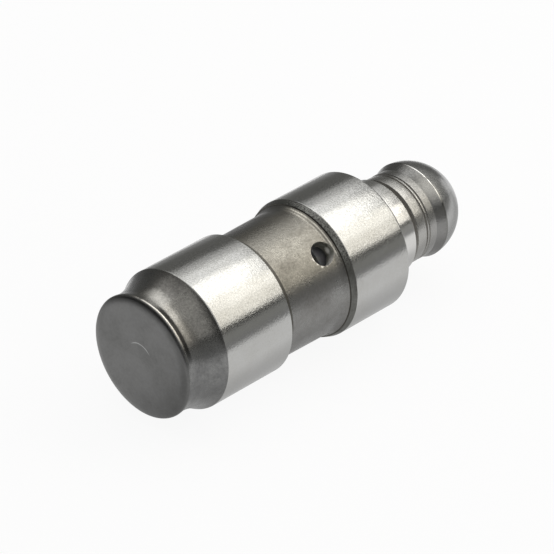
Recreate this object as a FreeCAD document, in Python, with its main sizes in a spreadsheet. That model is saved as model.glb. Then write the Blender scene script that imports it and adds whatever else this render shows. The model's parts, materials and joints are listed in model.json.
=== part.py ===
import FreeCAD, Part
import math
import os
import Sketcher

# Hydraulic valve-lash adjuster, also called a pivot tappet: a ground steel body with a closed end,
# and inside it a sprung two-piece plunger whose ball head carries the finger follower.
# Millimetres. The origin is the centre of the closed end, and +Z runs along the axis to the ball head.
# Every piece is drawn in its own frame, standing on Z = 0, and is then placed along the axis.

# Driving sizes: name, value, meaning
SIZES = [
    ("body_diameter", 12.0, "ground lands that fit the bore of the cylinder head"),
    ("body_length", 24.6, "closed end to mouth"),
    ("base_inset", 0.74, "rim round the closed end, in from the lands"),
    ("base_rounding", 0.35, "rounded edge of that rim"),
    ("base_crown_radius", 1.6, "soft crown between the flat end face and that edge"),
    ("base_crown_turn", 24.0, "how far the crown turns, in degrees"),
    ("waist_inset", 0.78, "narrowest place behind the rim, in from the lands"),
    ("waist_height", 1.15, "its height above the closed end"),
    ("flare_height", 3.86, "where the flare runs out into the lower land"),
    ("upper_land_length", 6.2, "upper land with its bevel"),
    ("mouth_bevel", 0.25, "outer and inner bevel of the mouth"),
    ("feed_groove_length", 7.5, "oil groove between the two lands"),
    ("feed_groove_depth", 0.57, "its depth beside the lower land"),
    ("feed_groove_taper", 0.07, "how much the groove's radius grows towards the shoulder"),
    ("feed_groove_bevel", 0.25, "sloping foot of the lower wall of the groove"),
    ("shoulder_sweep", 0.65, "length of the hollow sweep at the foot of the shoulder"),
    ("shoulder_rise", 0.2, "how far that sweep rises"),
    ("shoulder_step", 0.1, "small square step above the sweep"),
    ("shoulder_cone_length", 0.6, "unground cone from the step to the upper land"),
    ("feed_hole_diameter", 2.0, "radial oil hole"),
    ("feed_hole_setback", 1.9, "hole centre below the start of the upper land"),
    ("floor_thickness", 3.6, "steel below the spring pocket"),
    ("floor_bevel", 0.5, "sloping corner of the pocket's floor"),
    ("pocket_clearance", 0.45, "radial room of the return spring in the pocket below the bore"),
    ("plunger_travel", 2.8, "from the retaining ring down to that step"),
    ("plunger_diameter", 9.0, "both plungers, where they run in the bore"),
    ("shank_diameter", 8.3, "shank of the ball head, which passes through the retaining ring"),
    ("running_clearance", 0.02, "radial clearance of the plungers in the bore"),
    ("edge_bevel", 0.15, "bevel on the plungers' edges"),
    ("ring_wire", 0.6, "square wire of the retaining ring"),
    ("ring_clearance", 0.04, "radial room between the ring and the shank"),
    ("ring_depth", 2.1, "ring centre below the mouth"),
    ("ring_slack", 0.03, "room round the ring in its groove"),
    ("ring_opening", 24.0, "gap in the ring, in degrees"),
    ("stop_gap", 0.02, "room between faces that rest on each other through the ring or the seat"),
    ("relief_diameter", 7.6, "oil gallery turned round the meeting plungers"),
    ("upper_relief_length", 3.8, "its length on the upper plunger"),
    ("lower_relief_length", 1.6, "its length on the lower plunger"),
    ("guide_land_length", 1.9, "land of the upper plunger below the ring, with its sloping foot"),
    ("shank_length", 5.1, "shank between that land and the neck"),
    ("neck_diameter", 7.74, "neck behind the ball head"),
    ("neck_groove_width", 0.62, "groove behind the shank land"),
    ("neck_groove_diameter", 7.2, "its bottom"),
    ("neck_groove_slope", 0.15, "length of its sloping wall"),
    ("clip_land_length", 0.93, "land between the two neck grooves"),
    ("clip_groove_width", 0.5, "double groove for the follower's clip"),
    ("clip_groove_diameter", 7.4, "bottom of its wider half"),
    ("clip_rib_diameter", 7.62, "rib between its halves"),
    ("clip_scratch_diameter", 7.52, "bottom of its narrower half"),
    ("upper_neck_length", 0.72, "neck between the clip groove and the underside of the head"),
    ("undercut_depth", 0.05, "crease where the neck meets the underside"),
    ("underside_length", 0.9, "sloping underside of the ball head, with the crease"),
    ("ball_diameter", 8.34, "spherical head"),
    ("ball_lip", 0.25, "how far the ball's centre lies below the rim where the sphere starts"),
    ("reservoir_diameter", 5.2, "oil store inside both plungers"),
    ("reservoir_height", 10.4, "its height inside the upper plunger"),
    ("drill_point_angle", 118.0, "cone at the end of the reservoir, in degrees"),
    ("outlet_diameter", 0.8, "oil outlet through the crown of the ball head"),
    ("notch_width", 1.6, "oil notch across the foot of the upper plunger"),
    ("notch_depth", 0.6, "its depth"),
    ("lower_plunger_length", 6.5, "foot to top of the lower plunger"),
    ("valve_wall", 1.6, "wall that holds the valve seat"),
    ("valve_hole_diameter", 1.8, "oil passage through that wall"),
    ("seat_diameter", 3.0, "wide end of the 90 degree seat cone"),
    ("recess_clearance", 0.15, "radial room of the return spring in the foot of the lower plunger"),
    ("cage_recess_depth", 0.8, "its depth"),
    ("check_ball_diameter", 3.0, "valve ball"),
    ("ball_travel", 0.25, "how far the ball lifts off its seat"),
    ("cage_sheet", 0.25, "sheet thickness of the ball cage"),
    ("cage_clearance", 0.2, "radial room for the ball in its cage"),
    ("cage_rim_clearance", 0.05, "radial room of the cage's rim in its recess"),
    ("cage_depth", 3.0, "inside depth of the cage below the seat wall"),
    ("cage_pocket_diameter", 2.1, "inside of the spring pocket in its foot"),
    ("window_width", 1.5, "oil windows in the cage"),
    ("window_height", 0.8, "their height"),
    ("window_sill", 0.3, "their sill above the step that stops the ball"),
    ("window_count", 3, "how many there are"),
    ("wire_sides", 6, "flats that stand for the round wire of both springs"),
    ("plunger_spring_wire", 0.6, "return spring"),
    ("plunger_spring_diameter", 5.9, "its mean coil diameter"),
    ("plunger_spring_coils", 4, "its working coils"),
    ("ball_spring_wire", 0.12, "valve ball's spring"),
    ("ball_spring_diameter", 1.5, "its mean coil diameter"),
    ("ball_spring_coils", 2, "its working coils"),
    ("coil_gap", 0.04, "gap between closed end coils"),
]

# Where the clip groove's corners lie, as shares of its width
CLIP_SHARES = (0.1, 0.4, 0.5, 0.75, 0.8, 0.9)

# Places and sizes that follow from the driving ones, as expressions on the sheet
BORE_RADIUS = "(Sizes.plunger_diameter / 2 + Sizes.running_clearance)"
LAND_RADIUS = "(Sizes.body_diameter / 2)"
UPPER_LAND_START = "(Sizes.body_length - Sizes.upper_land_length)"
GROOVE_START = f"({UPPER_LAND_START} - Sizes.feed_groove_length)"
CONE_START = f"({UPPER_LAND_START} - Sizes.shoulder_cone_length)"
SWEEP_START = f"({CONE_START} - Sizes.shoulder_sweep)"
GROOVE_RADIUS = f"({LAND_RADIUS} - Sizes.feed_groove_depth)"
GROOVE_END_RADIUS = f"({GROOVE_RADIUS} + Sizes.feed_groove_taper)"
SWEEP_END_RADIUS = f"({GROOVE_END_RADIUS} + Sizes.shoulder_rise)"
STEP_RADIUS = f"({SWEEP_END_RADIUS} + Sizes.shoulder_step)"
FEED_HOLE_HEIGHT = f"({UPPER_LAND_START} - Sizes.feed_hole_setback)"

SHANK_RADIUS = "(Sizes.shank_diameter / 2)"
PLUNGER_RADIUS = "(Sizes.plunger_diameter / 2)"
RELIEF_RADIUS = "(Sizes.relief_diameter / 2)"
RING_CENTRE_RADIUS = f"({SHANK_RADIUS} + Sizes.ring_clearance + Sizes.ring_wire / 2)"
RING_CENTRE_HEIGHT = "(Sizes.body_length - Sizes.ring_depth)"
RING_FOOT = f"({RING_CENTRE_HEIGHT} - Sizes.ring_wire / 2)"

STOP_SHOULDER = "(Sizes.upper_relief_length + Sizes.guide_land_length)"
SHANK_END = f"({STOP_SHOULDER} + Sizes.shank_length)"
CLIP_LAND_START = f"({SHANK_END} + Sizes.neck_groove_width)"
CLIP_LAND_END = f"({CLIP_LAND_START} + Sizes.clip_land_length)"
UPPER_NECK_START = f"({CLIP_LAND_END} + Sizes.clip_groove_width)"
UNDERSIDE_START = f"({UPPER_NECK_START} + Sizes.upper_neck_length)"
BALL_RIM = f"({UNDERSIDE_START} + Sizes.underside_length)"
BALL_CENTRE = f"({BALL_RIM} - Sizes.ball_lip)"
BALL_RADIUS = "(Sizes.ball_diameter / 2)"
OUTLET_RADIUS = "(Sizes.outlet_diameter / 2)"

SPRING_RADIUS = "((Sizes.plunger_spring_diameter + Sizes.plunger_spring_wire) / 2)"
RECESS_RADIUS = f"({SPRING_RADIUS} + Sizes.recess_clearance)"
UPPER_PLUNGER_FOOT = f"({RING_FOOT} - Sizes.stop_gap - {STOP_SHOULDER})"
LOWER_PLUNGER_FOOT = f"({UPPER_PLUNGER_FOOT} - Sizes.lower_plunger_length)"
BORE_STEP = f"({LOWER_PLUNGER_FOOT} - Sizes.plunger_travel)"
SEAT_WALL = f"({LOWER_PLUNGER_FOOT} + Sizes.cage_recess_depth)"
CAGE_INNER_RADIUS = "(Sizes.check_ball_diameter / 2 + Sizes.cage_clearance)"
CAGE_HEIGHT = "(Sizes.cage_depth + Sizes.cage_sheet)"
CAGE_FOOT = f"({SEAT_WALL} - {CAGE_HEIGHT})"
# A ball that touches a 90 degree cone has its centre sqrt(2) radii below the cone's own tip
SEAT_TIP = f"({SEAT_WALL} + Sizes.seat_diameter / 2)"
CHECK_BALL_CENTRE = (
    f"({SEAT_TIP} - sqrt(2) * (Sizes.check_ball_diameter / 2 + Sizes.stop_gap / 2))"
)
# The lifted ball lands on the rounded edge round the cage's spring pocket
CAGE_STEP = (
    f"({CHECK_BALL_CENTRE} - {CAGE_FOOT} - Sizes.ball_travel + Sizes.cage_sheet"
    " - sqrt((Sizes.check_ball_diameter / 2 + Sizes.cage_sheet)^2"
    " - (Sizes.cage_pocket_diameter / 2 + Sizes.cage_sheet)^2))"
)
PLUNGER_SPRING_LENGTH = (
    f"({SEAT_WALL} - Sizes.cage_sheet - Sizes.floor_thickness - Sizes.stop_gap)"
)
# The ball rests in the top coil of its spring
BALL_SPRING_LENGTH = (
    f"({CHECK_BALL_CENTRE} - {CAGE_FOOT} - Sizes.cage_sheet - Sizes.stop_gap"
    " + Sizes.ball_spring_wire / 2"
    " - sqrt((Sizes.check_ball_diameter / 2 + Sizes.ball_spring_wire / 2)^2"
    " - (Sizes.ball_spring_diameter / 2)^2))"
)

doc = FreeCAD.newDocument("PivotTappet")


def make_sheet():
    """Writes the driving sizes into a spreadsheet, one aliased cell each."""
    sheet = doc.addObject("Spreadsheet::Sheet", "Sizes")
    for row, (alias, value, meaning) in enumerate(SIZES, start=1):
        sheet.set(f"A{row}", meaning)
        sheet.set(f"B{row}", str(value))
        sheet.setAlias(f"B{row}", alias)
    doc.recompute()
    return sheet


sheet = make_sheet()


def value(expression):
    """The number that an expression on the sheet gives."""
    result = sheet.evalExpression(expression)
    return float(getattr(result, "Value", result))


def make_body(name, foot="0"):
    """A body with its own origin, placed with its foot at a height on the axis."""
    body = doc.addObject("PartDesign::Body", name)
    body.Label = name
    body.setExpression("Placement.Base.z", foot)
    return body


def origin_plane(body, role):
    """One of the three planes of the body's own origin."""
    return next(f for f in body.Origin.OriginFeatures if f.Role == role)


def make_sketch(body, name, role="XZ_Plane"):
    """An empty sketch on a plane of the body. On XZ_Plane, x is the radius and y the height."""
    sketch = body.newObject("Sketcher::SketchObject", name)
    sketch.AttachmentSupport = (origin_plane(body, role), [""])
    sketch.MapMode = "FlatFace"
    return sketch


def bind(sketch, kind, geometry, point, expression):
    """Ties one coordinate of a point to an expression, or to the axis where that is zero."""
    if expression == "0":
        axis = -2 if kind == "DistanceX" else -1
        sketch.addConstraint(Sketcher.Constraint("PointOnObject", geometry, point, axis))
        return
    constraint = Sketcher.Constraint(kind, -1, 1, geometry, point, value(expression))
    index = sketch.addConstraint(constraint)
    sketch.setExpression(f"Constraints[{index}]", expression)


def add_outline(sketch, corners, arcs=None):
    """Draws a closed outline through corners, each a pair of expressions.

    arcs maps the number of an edge's first corner to (axis, centre, turn): the edge is then an arc
    whose centre lies at that x or y, and which turns left (1) or right (-1) on its way.
    """
    arcs = arcs or {}
    points = [FreeCAD.Vector(value(x), value(y), 0) for x, y in corners]
    first = sketch.GeometryCount
    count = len(points)
    for i, start in enumerate(points):
        end = points[(i + 1) % count]
        if i in arcs:
            edge = arc_between(start, end, *arcs[i])
        else:
            edge = Part.LineSegment(start, end)
        sketch.addGeometry(edge, False)
    for i, (x, y) in enumerate(corners):
        after = (i + 1) % count
        sketch.addConstraint(
            Sketcher.Constraint(
                "Coincident", first + i, end_of(i, arcs), first + after, start_of(after, arcs)
            )
        )
        bind(sketch, "DistanceX", first + i, start_of(i, arcs), x)
        bind(sketch, "DistanceY", first + i, start_of(i, arcs), y)
        if i in arcs:
            axis, centre, _ = arcs[i]
            bind(sketch, "DistanceX" if axis == "x" else "DistanceY", first + i, 3, centre)


def start_of(i, arcs):
    """Which end of an edge is its start: arcs are always stored anticlockwise."""
    return 2 if i in arcs and arcs[i][2] < 0 else 1


def end_of(i, arcs):
    """Which end of an edge is its end."""
    return 3 - start_of(i, arcs)


def arc_between(start, end, axis, centre, turn):
    """The arc from start to end about a centre of which one coordinate is given."""
    middle = (start + end) * 0.5
    across = FreeCAD.Vector(start.y - end.y, end.x - start.x, 0)
    known = value(centre)
    if axis == "x":
        share = (known - middle.x) / across.x
    else:
        share = (known - middle.y) / across.y
    centre_point = middle + across * share
    radius = (start - centre_point).Length
    angles = [math.atan2((p - centre_point).y, (p - centre_point).x) for p in (start, end)]
    if turn < 0:
        angles.reverse()
    if angles[1] < angles[0]:
        angles[1] += 2 * math.pi
    circle = Part.Circle(centre_point, FreeCAD.Vector(0, 0, 1), radius)
    return Part.ArcOfCircle(circle, *angles)


def add_rectangle(sketch, left, right, bottom, top):
    """A rectangle between four expressions."""
    add_outline(sketch, [(left, bottom), (right, bottom), (right, top), (left, top)])


def add_circle(sketch, x, y, radius):
    """A circle with its centre and radius tied to expressions."""
    centre = FreeCAD.Vector(value(x), value(y), 0)
    index = sketch.addGeometry(
        Part.Circle(centre, FreeCAD.Vector(0, 0, 1), value(radius)), False
    )
    bind(sketch, "DistanceX", index, 3, x)
    bind(sketch, "DistanceY", index, 3, y)
    constraint = sketch.addConstraint(Sketcher.Constraint("Radius", index, value(radius)))
    sketch.setExpression(f"Constraints[{constraint}]", radius)


def add_wire_section(sketch, x, y, radius):
    """The many-sided section of a spring's wire, with its corners on the wire's own circle."""
    corners = []
    for k in range(round(value("Sizes.wire_sides"))):
        angle = f"(90deg + ({k} + 0.5) * 360deg / Sizes.wire_sides)"
        corners.append((f"{x} + {radius} * cos({angle})", f"{y} + {radius} * sin({angle})"))
    add_outline(sketch, corners)


def turn(body, kind, name, sketch, angle="360"):
    """Turns a sketch about the body's axis, adding steel (Revolution) or cutting it (Groove)."""
    feature = body.newObject(f"PartDesign::{kind}", name)
    feature.Profile = sketch
    feature.ReferenceAxis = (sketch, ["V_Axis"])
    feature.setExpression("Angle", angle)
    body.Tip = feature
    doc.recompute()
    return feature


def cut_through(body, name, sketch, length):
    """Cuts a sketch of the XZ plane out of the body, towards -Y, for a length."""
    before = body.Shape.Volume
    pocket = body.newObject("PartDesign::Pocket", name)
    pocket.Profile = sketch
    pocket.Type = "Length"
    pocket.setExpression("Length", length)
    pocket.Reversed = True
    body.Tip = pocket
    doc.recompute()
    if body.Shape.Volume >= before:
        raise RuntimeError(f"{name} cuts nothing")
    return pocket


def bevel_edges(body, name, size, circles):
    """Chamfers the circular edges given as (radius, height) expressions."""
    base = body.Tip
    wanted = [(value(r), value(h)) for r, h in circles]
    edges = [
        f"Edge{i}"
        for i, edge in enumerate(base.Shape.Edges, start=1)
        if isinstance(edge.Curve, Part.Circle)
        and any(
            abs(edge.Curve.Radius - r) < 1e-6 and abs(edge.Curve.Center.z - h) < 1e-6
            for r, h in wanted
        )
    ]
    if len(edges) < len(wanted):
        raise RuntimeError(f"{name} finds {len(edges)} of {len(wanted)} edges")
    feature = body.newObject("PartDesign::Chamfer", name)
    feature.Base = (base, edges)
    feature.setExpression("Size", size)
    body.Tip = feature
    doc.recompute()
    return feature


def make_housing():
    """The body: a cold-formed cup with two ground lands, an oil groove between them and a flared foot."""
    body = make_body("housing")
    outline = make_sketch(body, "HousingOutline")
    rim = f"({LAND_RADIUS} - Sizes.base_inset)"
    waist = f"({LAND_RADIUS} - Sizes.waist_inset)"
    # The crown touches the flat end face at its foot and the tighter rounding where its turn ends
    crown, rounding = "Sizes.base_crown_radius", "Sizes.base_rounding"
    turned_out = "sin(Sizes.base_crown_turn * 1 deg)"
    turned_up = "cos(Sizes.base_crown_turn * 1 deg)"
    face = f"({rim} - {rounding} - ({crown} - {rounding}) * {turned_out})"
    rim_height = f"({crown} - ({crown} - {rounding}) * {turned_up})"
    add_outline(
        outline,
        [
            ("0", "0"),
            (face, "0"),
            (f"{face} + {crown} * {turned_out}", f"{crown} * (1 - {turned_up})"),
            (rim, rim_height),
            (waist, "Sizes.waist_height"),
            (LAND_RADIUS, "Sizes.flare_height"),
            (LAND_RADIUS, GROOVE_START),
            (f"{GROOVE_RADIUS} + Sizes.feed_groove_bevel", GROOVE_START),
            (GROOVE_RADIUS, f"{GROOVE_START} + Sizes.feed_groove_bevel"),
            (GROOVE_END_RADIUS, SWEEP_START),
            (SWEEP_END_RADIUS, CONE_START),
            (STEP_RADIUS, CONE_START),
            (LAND_RADIUS, UPPER_LAND_START),
            (LAND_RADIUS, "Sizes.body_length"),
            ("0", "Sizes.body_length"),
        ],
        {
            1: ("x", face, 1),
            2: ("y", rim_height, 1),
            4: ("y", "Sizes.waist_height", -1),
            9: ("y", SWEEP_START, -1),
        },
    )
    turn(body, "Revolution", "HousingBlank", outline)

    bore = make_sketch(body, "HousingBore")
    pocket = f"({SPRING_RADIUS} + Sizes.pocket_clearance)"
    add_outline(
        bore,
        [
            ("0", "Sizes.floor_thickness"),
            (f"{pocket} - Sizes.floor_bevel", "Sizes.floor_thickness"),
            (pocket, "Sizes.floor_thickness + Sizes.floor_bevel"),
            (pocket, BORE_STEP),
            (BORE_RADIUS, BORE_STEP),
            (BORE_RADIUS, "Sizes.body_length"),
            ("0", "Sizes.body_length"),
        ],
    )
    turn(body, "Groove", "Bore", bore)
    bevel_edges(
        body,
        "MouthBevels",
        "Sizes.mouth_bevel",
        [(BORE_RADIUS, "Sizes.body_length"), (LAND_RADIUS, "Sizes.body_length")],
    )

    groove = make_sketch(body, "RingGrooveOutline")
    half_width = "(Sizes.ring_wire / 2 + Sizes.ring_slack)"
    add_rectangle(
        groove,
        SHANK_RADIUS,
        f"{RING_CENTRE_RADIUS} + {half_width}",
        f"{RING_CENTRE_HEIGHT} - {half_width}",
        f"{RING_CENTRE_HEIGHT} + {half_width}",
    )
    turn(body, "Groove", "RingGroove", groove)

    hole = make_sketch(body, "FeedHoleOutline")
    add_circle(hole, "0", FEED_HOLE_HEIGHT, "Sizes.feed_hole_diameter / 2")
    cut_through(body, "FeedHole", hole, LAND_RADIUS)
    return body


def make_retaining_ring():
    """The open wire ring that sprang into the housing's groove and stops the plunger."""
    body = make_body("retaining_ring", RING_FOOT)
    section = make_sketch(body, "RingSection", "YZ_Plane")
    half = "Sizes.ring_wire / 2"
    add_rectangle(
        section,
        f"{RING_CENTRE_RADIUS} - {half}",
        f"{RING_CENTRE_RADIUS} + {half}",
        "0",
        "Sizes.ring_wire",
    )
    ring = turn(body, "Revolution", "Ring", section, "360 - Sizes.ring_opening")
    ring.Midplane = True
    doc.recompute()
    return body


def make_upper_plunger():
    """The plunger's visible half: foot, guide land, shank, grooved neck and ball head."""
    body = make_body("upper_plunger", UPPER_PLUNGER_FOOT)
    outline = make_sketch(body, "UpperPlungerOutline")
    neck = "(Sizes.neck_diameter / 2)"
    neck_groove = "(Sizes.neck_groove_diameter / 2)"
    clip_groove = "(Sizes.clip_groove_diameter / 2)"
    rim = f"sqrt({BALL_RADIUS}^2 - Sizes.ball_lip^2)"
    bevel = "Sizes.edge_bevel"
    rib = "(Sizes.clip_rib_diameter / 2)"
    scratch = "(Sizes.clip_scratch_diameter / 2)"
    clip = [f"{CLIP_LAND_END} + {share} * Sizes.clip_groove_width" for share in CLIP_SHARES]
    add_outline(
        outline,
        [
            ("0", "0"),
            (f"{RELIEF_RADIUS} - {bevel}", "0"),
            (RELIEF_RADIUS, bevel),
            (RELIEF_RADIUS, "Sizes.upper_relief_length"),
            (PLUNGER_RADIUS, f"Sizes.upper_relief_length + {PLUNGER_RADIUS} - {RELIEF_RADIUS}"),
            (PLUNGER_RADIUS, STOP_SHOULDER),
            (SHANK_RADIUS, STOP_SHOULDER),
            (SHANK_RADIUS, SHANK_END),
            (neck_groove, SHANK_END),
            (neck_groove, f"{CLIP_LAND_START} - Sizes.neck_groove_slope"),
            (neck, CLIP_LAND_START),
            (neck, CLIP_LAND_END),
            (clip_groove, clip[0]),
            (clip_groove, clip[1]),
            (rib, clip[2]),
            (rib, clip[3]),
            (scratch, clip[4]),
            (scratch, clip[5]),
            (neck, UPPER_NECK_START),
            (neck, UNDERSIDE_START),
            (f"{neck} - Sizes.undercut_depth", f"{UNDERSIDE_START} + Sizes.undercut_depth"),
            (rim, BALL_RIM),
            ("0", f"{BALL_CENTRE} + {BALL_RADIUS}"),
        ],
        {21: ("x", "0", 1)},
    )
    turn(body, "Revolution", "UpperPlungerBlank", outline)

    passage = make_sketch(body, "UpperPassage")
    store = "(Sizes.reservoir_diameter / 2)"
    add_outline(
        passage,
        [
            ("0", "0"),
            (store, "0"),
            (store, "Sizes.reservoir_height"),
            (
                OUTLET_RADIUS,
                f"Sizes.reservoir_height + ({store} - {OUTLET_RADIUS})"
                " / tan(Sizes.drill_point_angle / 2 * 1deg)",
            ),
            (OUTLET_RADIUS, f"{BALL_CENTRE} + {BALL_RADIUS}"),
            ("0", f"{BALL_CENTRE} + {BALL_RADIUS}"),
        ],
    )
    turn(body, "Groove", "UpperReservoir", passage)

    notch = make_sketch(body, "FeedNotchOutline")
    add_rectangle(notch, "-Sizes.notch_width / 2", "Sizes.notch_width / 2", "0", "Sizes.notch_depth")
    pocket = cut_through(body, "FeedNotch", notch, "Sizes.relief_diameter")
    pocket.Midplane = True
    doc.recompute()
    return body


def make_lower_plunger():
    """The plunger's hidden half, which seals the pressure chamber and holds the valve seat."""
    body = make_body("lower_plunger", LOWER_PLUNGER_FOOT)
    outline = make_sketch(body, "LowerPlungerOutline")
    relief_start = "(Sizes.lower_plunger_length - Sizes.lower_relief_length)"
    bevel = "Sizes.edge_bevel"
    add_outline(
        outline,
        [
            ("0", "0"),
            (f"{PLUNGER_RADIUS} - {bevel}", "0"),
            (PLUNGER_RADIUS, bevel),
            (PLUNGER_RADIUS, f"{relief_start} - {PLUNGER_RADIUS} + {RELIEF_RADIUS}"),
            (RELIEF_RADIUS, relief_start),
            (RELIEF_RADIUS, f"Sizes.lower_plunger_length - {bevel}"),
            (f"{RELIEF_RADIUS} - {bevel}", "Sizes.lower_plunger_length"),
            ("0", "Sizes.lower_plunger_length"),
        ],
    )
    turn(body, "Revolution", "LowerPlungerBlank", outline)

    passage = make_sketch(body, "ValvePassage")
    store = "(Sizes.reservoir_diameter / 2)"
    hole = "(Sizes.valve_hole_diameter / 2)"
    seat = "(Sizes.seat_diameter / 2)"
    wall_top = "(Sizes.cage_recess_depth + Sizes.valve_wall)"
    add_outline(
        passage,
        [
            ("0", "0"),
            (RECESS_RADIUS, "0"),
            (RECESS_RADIUS, "Sizes.cage_recess_depth"),
            (seat, "Sizes.cage_recess_depth"),
            (hole, f"Sizes.cage_recess_depth + {seat} - {hole}"),
            (hole, wall_top),
            (store, wall_top),
            (store, "Sizes.lower_plunger_length"),
            ("0", "Sizes.lower_plunger_length"),
        ],
    )
    turn(body, "Groove", "ValveBore", passage)
    return body


def make_check_ball():
    """The valve ball, on its seat."""
    ball = doc.addObject("Part::Sphere", "check_ball")
    ball.Label = "check_ball"
    ball.setExpression("Radius", "Sizes.check_ball_diameter / 2")
    ball.setExpression("Placement.Base.z", CHECK_BALL_CENTRE)
    doc.recompute()
    return ball


def make_ball_cage():
    """The pressed sheet cup that holds the ball and its spring, with oil windows round its side."""
    body = make_body("ball_cage", CAGE_FOOT)
    outline = make_sketch(body, "CageOutline")
    sheet = "Sizes.cage_sheet"
    inner = CAGE_INNER_RADIUS
    outer = f"({inner} + {sheet})"
    pocket = "(Sizes.cage_pocket_diameter / 2)"
    pocket_outer = f"({pocket} + {sheet})"
    brim = f"({RECESS_RADIUS} - Sizes.cage_rim_clearance)"
    brim_foot = f"({CAGE_HEIGHT} - {sheet})"
    step_foot = f"({CAGE_STEP} - {sheet})"
    add_outline(
        outline,
        [
            ("0", "0"),
            (pocket, "0"),
            (pocket_outer, sheet),
            (pocket_outer, step_foot),
            (inner, step_foot),
            (outer, CAGE_STEP),
            (outer, brim_foot),
            (brim, brim_foot),
            (brim, CAGE_HEIGHT),
            (outer, CAGE_HEIGHT),
            (inner, brim_foot),
            (inner, CAGE_STEP),
            (pocket_outer, CAGE_STEP),
            (pocket, step_foot),
            (pocket, sheet),
            ("0", sheet),
        ],
    )
    turn(body, "Revolution", "CageCup", outline)

    window = make_sketch(body, "WindowOutline")
    add_rectangle(
        window,
        "-Sizes.window_width / 2",
        "Sizes.window_width / 2",
        f"{CAGE_STEP} + Sizes.window_sill",
        f"{CAGE_STEP} + Sizes.window_sill + Sizes.window_height",
    )
    pocket = cut_through(body, "Window", window, outer)
    pattern = body.newObject("PartDesign::PolarPattern", "Windows")
    pattern.Originals = [pocket]
    pattern.Axis = (window, ["V_Axis"])
    pattern.Angle = 360
    pattern.setExpression("Occurrences", "Sizes.window_count")
    body.Tip = pattern
    doc.recompute()
    return body


def make_coil_spring(name, foot, wire, diameter, coils, length):
    """A compression spring with one closed, ground coil at each end.

    Its wire starts with its centre a twelfth of its thickness above the foot, so the grinding
    leaves a flat on the closed coils. Each stretch of the helix makes whole turns, so that the
    next one starts in the same plane.
    """
    body = make_body(name, foot)
    closed_pitch = f"({wire} + Sizes.coil_gap)"
    ground_centre = f"({wire} / 12)"
    working_rise = f"({length} - 2 * {ground_centre} - 2 * {closed_pitch})"
    stretches = [
        ("Foot", ground_centre, closed_pitch, "1"),
        ("Working", f"{ground_centre} + {closed_pitch}", working_rise, coils),
        ("Top", f"{length} - {ground_centre} - {closed_pitch}", closed_pitch, "1"),
    ]
    for part, start, rise, turns in stretches:
        section = make_sketch(body, f"{name}{part}Section")
        add_wire_section(section, f"{diameter} / 2", start, f"{wire} / 2")
        helix = body.newObject("PartDesign::AdditiveHelix", f"{name}{part}Coils")
        helix.Profile = section
        helix.ReferenceAxis = (section, ["V_Axis"])
        helix.Mode = "height-turns-angle"
        helix.setExpression("Height", rise)
        helix.setExpression("Turns", turns)
        body.Tip = helix
        doc.recompute()
    grinding = make_sketch(body, f"{name}Grinding")
    add_rectangle(grinding, "0", diameter, f"-{wire}", "0")
    add_rectangle(grinding, "0", diameter, length, f"{length} + {wire}")
    turn(body, "Groove", f"{name}GroundEnds", grinding)
    return body


def make_springs():
    """The return spring under the plungers and the light spring under the valve ball."""
    plunger_spring = make_coil_spring(
        "plunger_spring",
        "Sizes.floor_thickness + Sizes.stop_gap / 2",
        "Sizes.plunger_spring_wire",
        "Sizes.plunger_spring_diameter",
        "Sizes.plunger_spring_coils",
        PLUNGER_SPRING_LENGTH,
    )
    ball_spring = make_coil_spring(
        "check_ball_spring",
        f"{CAGE_FOOT} + Sizes.cage_sheet + Sizes.stop_gap / 2",
        "Sizes.ball_spring_wire",
        "Sizes.ball_spring_diameter",
        "Sizes.ball_spring_coils",
        BALL_SPRING_LENGTH,
    )
    return [plunger_spring, ball_spring]


def check_document():
    """Stops the build at any object that failed to recompute."""
    doc.recompute()
    for thing in doc.Objects:
        if "Invalid" in thing.State or "Error" in thing.State:
            raise RuntimeError(f"{thing.Name} failed: {thing.State}")


def write_parts(pieces):
    """Writes each piece's solid to parts/NODE.step."""
    os.makedirs("parts", exist_ok=True)
    for piece in pieces:
        shape = piece.Shape
        if shape.isNull() or not shape.isValid() or not shape.Solids:
            raise RuntimeError(f"{piece.Label} has no valid solid")
        shape.exportStep(os.path.join("parts", f"{piece.Label}.step"))
        print(f"{piece.Label}: {len(shape.Solids)} solid, {shape.Volume:.2f} mm3")


pieces = [
    make_housing(),
    make_retaining_ring(),
    make_upper_plunger(),
    make_lower_plunger(),
    make_check_ball(),
    make_ball_cage(),
] + make_springs()
check_document()
write_parts(pieces)
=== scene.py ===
import json
import logging
import math
from dataclasses import dataclass
from enum import Enum
from functools import cache, reduce

import bpy
from bpy.types import Material, Mesh, NodeSocket, Object, World
from mathutils import Matrix, Vector


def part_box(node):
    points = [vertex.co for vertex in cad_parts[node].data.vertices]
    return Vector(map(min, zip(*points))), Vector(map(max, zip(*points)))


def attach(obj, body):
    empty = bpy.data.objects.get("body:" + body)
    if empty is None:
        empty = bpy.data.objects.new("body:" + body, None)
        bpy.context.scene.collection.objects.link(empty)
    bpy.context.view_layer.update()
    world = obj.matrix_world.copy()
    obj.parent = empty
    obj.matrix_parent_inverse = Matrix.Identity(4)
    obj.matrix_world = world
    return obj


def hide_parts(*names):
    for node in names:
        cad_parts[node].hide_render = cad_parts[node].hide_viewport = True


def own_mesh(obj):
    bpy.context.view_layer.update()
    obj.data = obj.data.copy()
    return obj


# A hydraulic pivot tappet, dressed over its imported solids: a ground body with a flared closed end, an
# oil groove with a feed hole, and a ball-headed plunger standing out of its mouth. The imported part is
# in metres; its sizes below are in millimetres, in the same frame, and are scaled once as meshes form.

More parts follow.
